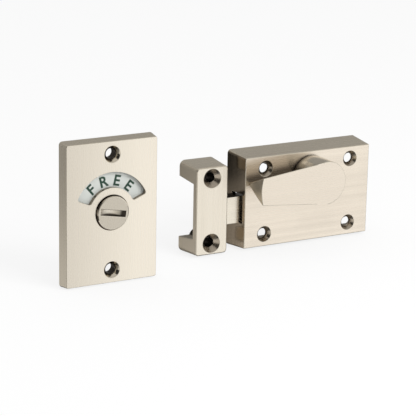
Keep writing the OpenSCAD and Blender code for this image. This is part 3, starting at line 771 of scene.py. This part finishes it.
def knob_face(face, rubbed):
    at = face.calc_center_median()
    if rubbed:
        return EDGE
    if abs(face.normal.y) < EDGE_ON and math.hypot(at.x, at.z) < stem_r + NEAR:
        return STEM
    return TIP if face.normal.x < -STEEP else FACE


KNOB_FINISHES = {FACE: KNOB_ACROSS, STEM: KNOB_TURNED, TIP: FILED, EDGE: RUBBED}
finish_piece("lever_turn", "turn_knob", knob_mesh, KNOB_FINISHES, knob_face)

# %% [markdown]
# ## Coin release
# A turned head with a slot for a coin, by which the lock is opened from outside. Its face is
# brushed upright. The slot's floor gets painted shade on its lower side and in its right-hand end,
# and its walls painted shadow, near black. A mesh of its own for the shade would be a film without
# thickness, so it is a shade in the finish of the slot's floor, turned by the angle at which the
# slot leans.

# %% Painted shade in the coin slot
SLOT_LEAN, SLOT_SHADE_SLOPE = math.radians(10), 0.45
SLOT_SHADE_LOW, SLOT_SHADE_HIGH = release_mid.z - 2.2 * MM, release_mid.z - 1.6 * MM
SLOT_SHADE_RIGHT, SLOT_SHADE_LEFT = release_mid.x + 5.2 * MM, release_mid.x + 4.2 * MM


def slot_painted_shade(finish):
    """The share of light in the coin slot: painted shade on its lower side and in its right end."""
    settings = {"Vector": finish.place(), "Center": release_mid, "Angle": -SLOT_LEAN}
    turned = finish.node("ShaderNodeVectorRotate", {"rotation_type": "Y_AXIS"}, settings)("Vector")
    at = finish.node("ShaderNodeSeparateXYZ", {}, {"Vector": turned})
    height = at("Z") - (at("Y") - release_low.y) * SLOT_SHADE_SLOPE
    return finish.ramp(height, SLOT_SHADE_LOW, SLOT_SHADE_HIGH) * finish.ramp(at("X"), SLOT_SHADE_RIGHT, SLOT_SHADE_LEFT)


# Painted shade: the slot's floor darkens on its lower side and in its right-hand end.
SHADED_SLOT_FLOOR = satin_nickel("nickel_slot_floor", "X", roughness=0.4, shade=slot_painted_shade)
print("slot finish:", SHADED_SLOT_FLOOR.name)

# %% Coin release
SLOT_ROUND, SLOT_REACH, SLOT_DEPTH = 0.2 * MM, 2.6 * MM, 2.7 * MM
HEAD_R, HEAD_ROUND = (release_high.x - release_low.x) / 2, 0.7 * MM
SLOT_WALL, SHADED_RIM = "slot wall", 0.2


def in_slot(at):
    return at.y < release_low.y + SLOT_DEPTH and abs(at.z - release_mid.z) < SLOT_REACH


def is_slot_rim(edge):
    at = middle(edge)
    on_flat = math.hypot(at.x - release_mid.x, at.z - release_mid.z) < HEAD_R - HEAD_ROUND - NEAR
    return at.y < release_low.y + NEAR and in_slot(at) and on_flat


def release_face(face, rubbed):
    at = face.calc_center_median()
    if rubbed:
        return SLOT_WALL if in_slot(at) and face.normal.z < -SHADED_RIM else EDGE
    if at.y < release_low.y + NEAR:
        return FACE
    if in_slot(at):
        return SLOT_WALL if abs(face.normal.z) > STEEP else SLOT
    in_round = at.y < release_low.y + HEAD_ROUND and face.normal.y < -LEANING
    return EDGE if in_round else UPRIGHT


RELEASE_FINISHES = {
    FACE: RELEASE_FACE,
    UPRIGHT: RELEASE_SIDE,
    EDGE: RUBBED,
    SLOT: SHADED_SLOT_FLOOR,
    SLOT_WALL: HOLE_SHADOW,
}
release_mesh = cad_copy("release_turn")
rim_count = round_edges(release_mesh, SLOT_ROUND, is_slot_rim, segments=2)
print("release_turn has", rim_count, "edges of its slot rounded")
finish_piece("coin_release", "release_turn", release_mesh, RELEASE_FINISHES, release_face)

# %% [markdown]
# ## Bolt
# A drawn bar with a rack cut in its top edge, so its marks run along it. Its long edges and its
# nose are rounded, because they slide into the keep. One round for all edges would be less work,
# but it would spoil the teeth, which meet the pinion, so they and the tail stay sharp. What looks
# upwards, where the pinion runs, gets painted shadow, near black, for the dark gap above the bolt.

# %% Bolt
BOLT_ROUND, TEETH_TOP = 0.3 * MM, 2.3 * MM
NOSE_END, TAIL = -30 * MM, 1 * MM
RACK = "rack"
bolt_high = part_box("bolt")[1]


def is_bar_edge(edge):
    at = middle(edge)
    under_teeth = at.z < bolt_high.z - TEETH_TOP - BOLT_ROUND and at.x < bolt_high.x - TAIL
    return under_teeth or at.x < NOSE_END


def bolt_face(face, rubbed):
    if face.normal.z > STEEP:
        return RACK
    return EDGE if rubbed else FACE


bolt_mesh = cad_copy("bolt")
bar_count = round_edges(bolt_mesh, BOLT_ROUND, is_bar_edge)
print("bolt has", bar_count, "edges rounded")
BOLT_FINISHES = {FACE: BRUSHED_X, EDGE: RUBBED, RACK: GAP_SHADOW}
finish_piece("bolt_bar", "bolt", bolt_mesh, BOLT_FINISHES, bolt_face)

# %% [markdown]
# ## Hidden works
# What is behind the castings is seen only from the back, so it keeps its CAD shape, but each piece
# gets the finish of what it is made of. The steel is bright zinc plate, a little blue and mottled.
# The pinion is cut brass, and the bush is moulded nylon. Noise of a different size and stretch is
# enough to tell the three apart.

# %% Finishes of the works
STEEL_DARK, STEEL_LIGHT = (0.50, 0.51, 0.54, 1), (0.68, 0.69, 0.71, 1)
BRASS_DARK, BRASS_LIGHT = (0.66, 0.47, 0.19, 1), (0.80, 0.62, 0.30, 1)
NYLON_DARK, NYLON_LIGHT = (0.70, 0.68, 0.60, 1), (0.78, 0.76, 0.69, 1)
MOTTLES, STEEL_GRAINS, NYLON_CLOUDS = 260, 2400, 500
CUTS_ACROSS, CUTS_ALONG = 1800, 60


def plated_steel():
    finish = new_finish("steel_plated")
    mottle = finish.noise(evenly(MOTTLES), detail=3.0)
    grain = finish.noise(evenly(STEEL_GRAINS))
    return finish.surface(
        {
            "Base Color": finish.mix(mottle, STEEL_DARK, STEEL_LIGHT),
            "Metallic": 1.0,
            "Roughness": mottle.span(least=0.24, most=0.40),
            "Normal": finish.bump(grain, depth=0.01 * MM, strength=0.3),
        }
    )


def cut_brass():
    finish = new_finish("brass_cut")
    marks = finish.noise(stretched("Y", CUTS_ACROSS, CUTS_ALONG))
    return finish.surface(
        {
            "Base Color": finish.mix(marks, BRASS_DARK, BRASS_LIGHT),
            "Metallic": 1.0,
            "Roughness": marks.span(least=0.22, most=0.40),
            "Normal": finish.bump(marks, depth=0.01 * MM, strength=0.4),
        }
    )


def moulded_nylon():
    finish = new_finish("nylon_moulded")
    cloud = finish.noise(evenly(NYLON_CLOUDS), detail=3.0)
    return finish.surface(
        {
            "Base Color": finish.mix(cloud, NYLON_DARK, NYLON_LIGHT),
            "Roughness": cloud.span(least=0.42, most=0.54),
            "Normal": finish.bump(cloud, depth=0.02 * MM, strength=0.4),
        }
    )


WORKS = {"steel": plated_steel(), "brass": cut_brass(), "nylon": moulded_nylon()}
print("works finishes:", [material.name for material in WORKS.values()])


# %% Hidden works
def dress(node, material):
    """Gives a finish to a CAD node that keeps its shape."""
    data = frame["nodes"][node].data
    data.materials.clear()
    data.materials.append(material)


slot_of = {row["node"]: row["material_slot"] for row in frame["record"]["subparts"]}
for slot, material in WORKS.items():
    dressed = [node for node in slot_of if slot_of[node] == slot]
    for node in dressed:
        dress(node, material)
    print(material.name, "is on", len(dressed), "nodes")

# %% [markdown]
# ## Indicator disc
# A thin enamelled disc turns behind the window. Its upper half is white and its lower half red, so
# that half a turn of the release changes the colour in the window. Two half discs need a seam.
# Instead one finish changes its colour at the height of the axis, and because a finish is fixed to
# its mesh, the colours turn with the disc.

# %% Indicator disc
WHITE_DARK, WHITE_LIGHT = (0.49, 0.51, 0.48, 1), (0.54, 0.56, 0.53, 1)
ENAMEL_RED = (0.42, 0.02, 0.02, 1)
HALF_Z = 0.0005 * MM
PEELS, ENAMEL_CLOUDS = 700, 120


def disc_enamel():
    finish = new_finish("disc_enamel")
    upper = finish.place_along("Z").above(HALF_Z)
    peel = finish.noise(evenly(PEELS), detail=3.0)
    cloud = finish.noise(evenly(ENAMEL_CLOUDS))
    white = finish.mix(cloud, WHITE_DARK, WHITE_LIGHT)
    return finish.surface(
        {
            "Base Color": finish.mix(upper, ENAMEL_RED, white),
            "Roughness": peel.span(least=0.3, most=0.4),
            "Normal": finish.bump(peel, depth=0.01 * MM, strength=0.3),
            "Coat Weight": 0.3,
        }
    )


ENAMEL = disc_enamel()
dress("indicator_disc", ENAMEL)
print("indicator_disc carries", ENAMEL.name)

# %% [markdown]
# ## Words on the disc
# The state is printed on each half: a plain word, each letter turned to face the axis. Letters
# drawn in a shader would need a formula for each stroke, while a text object gives a letter's
# outline. It becomes a mesh before it is put in its place, so the piece itself stays at the origin.

# %% Letters
LETTER_H, LETTER_BOLD, INK_T = 5.2 * MM, 0.2 * MM, 0.03 * MM
CAPITAL_SHARE = 0.7
SPECKLES = 1500


def printing_ink(name, dark, light):
    finish = new_finish(name)
    speckle = finish.noise(evenly(SPECKLES), detail=3.0)
    colour, roughness = finish.mix(speckle, dark, light), speckle.span(least=0.35, most=0.5)
    return finish.surface({"Base Color": colour, "Roughness": roughness})


def letter_mesh(letter):
    """One capital as a thin mesh, centred across its foot, upright in X and Y."""
    curve = bpy.data.curves.new("letter", "FONT")
    curve.body, curve.size, curve.align_x = letter, LETTER_H / CAPITAL_SHARE, "CENTER"
    curve.offset, curve.extrude = LETTER_BOLD, INK_T / 2
    holder = bpy.data.objects.new("letter", curve)
    bpy.context.scene.collection.objects.link(holder)
    bpy.context.view_layer.update()
    drawn = holder.evaluated_get(bpy.context.evaluated_depsgraph_get())
    made = bpy.data.meshes.new_from_object(drawn)
    bpy.data.objects.remove(holder)
    return made


GREEN_INK = printing_ink("ink_green", (0.006, 0.030, 0.016, 1), (0.012, 0.050, 0.028, 1))
CREAM_INK = printing_ink("ink_cream", (0.74, 0.73, 0.68, 1), (0.82, 0.81, 0.76, 1))
print("inks:", GREEN_INK.name, CREAM_INK.name)

# %% Words on the disc
BASELINE_R = 13.0 * MM
disc_low, disc_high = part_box("indicator_disc")
disc_mid = (disc_low + disc_high) / 2


def print_word(name, word, ink, turn, pitch):
    """Prints a word round the disc's axis.

    `turn` is the angle of its middle from the top, and `pitch` that from letter to letter.
    """
    mesh = bmesh.new()
    on_disc = Matrix.Translation((disc_mid.x, disc_low.y, disc_mid.z))
    stand_up = Matrix.Rotation(math.radians(90), 4, "X")
    to_baseline = Matrix.Translation((0, BASELINE_R, INK_T / 2))
    for i, letter in enumerate(word):
        if letter == " ":
            continue
        angle = turn + (i - (len(word) - 1) / 2) * pitch
        flat = letter_mesh(letter)
        flat.transform(on_disc @ Matrix.Rotation(angle, 4, "Y") @ stand_up @ to_baseline)
        mesh.from_mesh(flat)
        bpy.data.meshes.remove(flat)
    bmesh.ops.remove_doubles(mesh, verts=mesh.verts[:], dist=WELD)
    piece = as_object(name, mesh, [ink])
    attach(piece, "release")
    print(name, "has", len(piece.data.polygons), "faces")


print_word("word_free", "FREE", GREEN_INK, turn=0, pitch=math.radians(27))
print_word("word_in_use", "IN USE", CREAM_INK, turn=math.pi, pitch=math.radians(23))

# %% [markdown]
# ## Floor and world
# The set stands on a white sweep. More light would turn any floor white, but it would bleach the
# nickel too. So the light stays at a plain level, and the floor and the world are white only for
# what looks at them: the camera, and the reflections. The floor keeps a share of its own shading,
# which leaves the units a soft shadow.

# %% Floor and world
FLOOR_SIDE, FLOOR_OWN_SHADE = 8.0, 0.2
FLOOR_COLOUR, WORLD_AMBIENT = (0.9, 0.9, 0.9, 1), 0.75
WHITE = (1, 1, 1, 1)
floor_z = cad_box[0].z


def seen_directly(finish):
    """1 for rays from the camera and for the reflections and glass that show the background too."""
    ray = finish.node("ShaderNodeLightPath", {}, {})
    return ray("Is Camera Ray").largest(ray("Is Glossy Ray")).largest(ray("Is Transmission Ray"))


def level(z, x0, x1, y0, y1):
    return [(x0, y0, z), (x1, y0, z), (x1, y1, z), (x0, y1, z)]


def stage_plane(name, corners, material):
    mesh = bmesh.new()
    mesh.faces.new([mesh.verts.new(c) for c in corners])
    plane = as_object(name, mesh, [material])
    return plane


def floor_white():
    finish = new_finish("floor_white")
    shaded = finish.node("ShaderNodeBsdfDiffuse", {}, {"Color": FLOOR_COLOUR})("BSDF")
    glow = finish.node("ShaderNodeEmission", {}, {"Color": WHITE, "Strength": 1.0})("Emission")
    share = seen_directly(finish) * (1 - FLOOR_OWN_SHADE)
    both = finish.node("ShaderNodeMixShader", {}, {0: share, 1: shaded, 2: glow})("Shader")
    finish.node("ShaderNodeOutputMaterial", {}, {"Surface": both})
    return finish.owner


def studio_sky(owner):
    sky = Finish(owner)
    light = {"Color": WHITE, "Strength": WORLD_AMBIENT}
    ambient = sky.node("ShaderNodeBackground", {}, light)("Background")
    backdrop = sky.node("ShaderNodeBackground", {}, {"Color": WHITE, "Strength": 1.0})("Background")
    parts = {0: seen_directly(sky), 1: ambient, 2: backdrop}
    both = sky.node("ShaderNodeMixShader", {}, parts)("Shader")
    sky.node("ShaderNodeOutputWorld", {}, {"Surface": both})
    return owner


floor_half = FLOOR_SIDE / 2
floor_corners = level(floor_z, -floor_half, floor_half, -floor_half, floor_half)
floor = stage_plane("floor", floor_corners, floor_white())
floor.visible_glossy = False
bpy.context.scene.world = studio_sky(bpy.data.worlds.new("studio"))
print("floor at", round(floor_z / MM, 1), "mm")

# %% [markdown]
# ## Flags
# Metal shows what stands round it, so on a bare white stage it would be white all over. A picture
# of a studio could be wrapped round the world, but photographers stand dark cards, called flags,
# round metal, and these can be placed one by one: behind the set, over and under it, to its sides
# and in front of it on the left. A plain card gives a face one tone, and a card that fades gives it
# a slow change. Only reflections see the cards, so they cast no shadow.

# %% Flags
WARM_GREEN, WARM_BLUE = 0.97, 0.92


def grey(tone):
    """A warm grey of the given brightness."""
    return (tone, tone * WARM_GREEN, tone * WARM_BLUE, 1)


def fade(axis, start, end, first, second):
    """The tone of a card that goes from the first grey to the second along an axis."""
    return lambda finish: finish.mix(
        finish.ramp(finish.place_along(axis), start, end), grey(first), grey(second)
    )


def plain(tone):
    return lambda finish: grey(tone)


def flag(name, tone, corners):
    """A card that only reflections see."""
    finish = new_finish(name)
    light = {"Color": tone(finish), "Strength": 1.0}
    glow = finish.node("ShaderNodeEmission", {}, light)("Emission")
    finish.node("ShaderNodeOutputMaterial", {}, {"Surface": glow})
    card = stage_plane(name, corners, finish.owner)
    card.visible_camera = card.visible_transmission = False
    card.visible_diffuse = card.visible_shadow = False


def across(y, x0, x1, z0, z1):
    return [(x0, y, z0), (x1, y, z0), (x1, y, z1), (x0, y, z1)]


def along(x, y0, y1, z0, z1):
    return [(x, y0, z0), (x, y1, z0), (x, y1, z1), (x, y0, z1)]


LEFT, RIGHT, FRONT, BACK, UNDER, TOP = -0.7, 1.1, -1.3, 0.6, -0.7, 0.75
print("the cards stand", [LEFT, RIGHT], "across,", [FRONT, BACK], "deep,", [UNDER, TOP], "high")

# %% Flags behind the set
BEHIND, GAP_Y = 0.25, 0.08
CASE_X, MIDDLE_X, RIGHT_X, CASE_STEP_Z = -0.26, -0.2, -0.1, -0.091
GAP_X, GAP_END_X, GAP_TOP_Z, GAP_STEP_Z, GAP_FOOT_Z = -0.128, -0.1, 0.05, -0.03, -0.2

BACK_LEFT_FADE = fade("Z", start=-0.07, end=-0.15, first=0.29, second=0.60)
CASE_LOW_FADE = fade("Z", start=-0.118, end=-0.134, first=0.075, second=0.45)
flag("flag_back", plain(0.35), across(BACK, LEFT, RIGHT, 0, TOP))
flag("flag_back_left", BACK_LEFT_FADE, across(BEHIND, LEFT, CASE_X, UNDER, 0))
flag("flag_back_case_high", plain(0.012), across(BEHIND, CASE_X, MIDDLE_X, CASE_STEP_Z, 0))
flag("flag_back_case_low", CASE_LOW_FADE, across(BEHIND, CASE_X, MIDDLE_X, UNDER, CASE_STEP_Z))
flag("flag_back_middle", plain(0.012), across(BEHIND, MIDDLE_X, RIGHT_X, UNDER, 0))
flag("flag_back_right", plain(0.2), across(BEHIND, RIGHT_X, RIGHT, UNDER, 0))
flag("flag_gap", plain(0.004), across(GAP_Y, GAP_X, GAP_END_X, GAP_STEP_Z, GAP_TOP_Z))
flag("flag_gap_low", plain(0.17), across(GAP_Y, GAP_X, GAP_END_X, GAP_FOOT_Z, GAP_STEP_Z))
print("flags stand behind the set and behind its gap")

# %% Flags round the set
LEFT_STEP_Y, LEFT_FAR_Y, LEFT_STEP_Z = -0.25, 0.1, -0.05
RIGHT_Y, UNDER_Y = -0.1, -0.35
FRONT_END_X, FRONT_HIGH_X, FRONT_STEP_Z = 0.3, 0.05, 0.05

LEFT_FADE = fade("Y", start=-0.9, end=-0.45, first=0.12, second=0.85)
FRONT_FADE = fade("X", start=LEFT, end=FRONT_END_X, first=0.35, second=1.0)
flag("flag_left", LEFT_FADE, along(LEFT, FRONT, LEFT_STEP_Y, UNDER, LEFT_STEP_Z))
flag("flag_left_back", plain(0.2), along(LEFT, LEFT_STEP_Y, BEHIND, UNDER, LEFT_STEP_Z))
flag("flag_left_high", plain(0.03), along(LEFT, FRONT, LEFT_FAR_Y, LEFT_STEP_Z, TOP))
flag("flag_left_far", plain(0.3), along(LEFT, LEFT_FAR_Y, BACK, LEFT_STEP_Z, TOP))
flag("flag_right", plain(0.3), along(RIGHT, RIGHT_Y, BACK, UNDER, TOP))
flag("flag_front_left", FRONT_FADE, across(FRONT, LEFT, FRONT_END_X, UNDER, FRONT_STEP_Z))
flag("flag_front_high", plain(0.05), across(FRONT, LEFT, FRONT_HIGH_X, FRONT_STEP_Z, TOP))
flag("flag_top", plain(0.55), level(TOP, LEFT, RIGHT, FRONT, BACK))
flag("flag_under", plain(0.045), level(UNDER, LEFT, RIGHT, UNDER_Y, BEHIND))
print("flags stand round the set, open to the front right")

# %% [markdown]
# ## Lamp
# The floor, the disc and the ink aren't metal, so they need a lamp. A small one would cast hard
# shadows. This one is a large square at the front right, which softens them by its size, and no
# metal mirrors it.


# %% Lamp
def soft_lamp(name, place, aim, side, watts):
    """A square lamp that lights the floor, the disc and the ink, and that no metal mirrors."""
    lamp = bpy.data.objects.new(name, bpy.data.lights.new(name, "AREA"))
    lamp.data.size, lamp.data.energy = side, watts
    lamp.location = place
    lamp.rotation_mode = "QUATERNION"
    lamp.rotation_quaternion = (Vector(aim) - Vector(place)).to_track_quat("-Z", "Y")
    lamp.visible_glossy = False
    bpy.context.scene.collection.objects.link(lamp)
    print(name, "gives", watts, "W")


soft_lamp("lamp_front", place=(0.3, -1.0, 0.6), aim=(-0.05, 0, 0), side=0.7, watts=10.0)
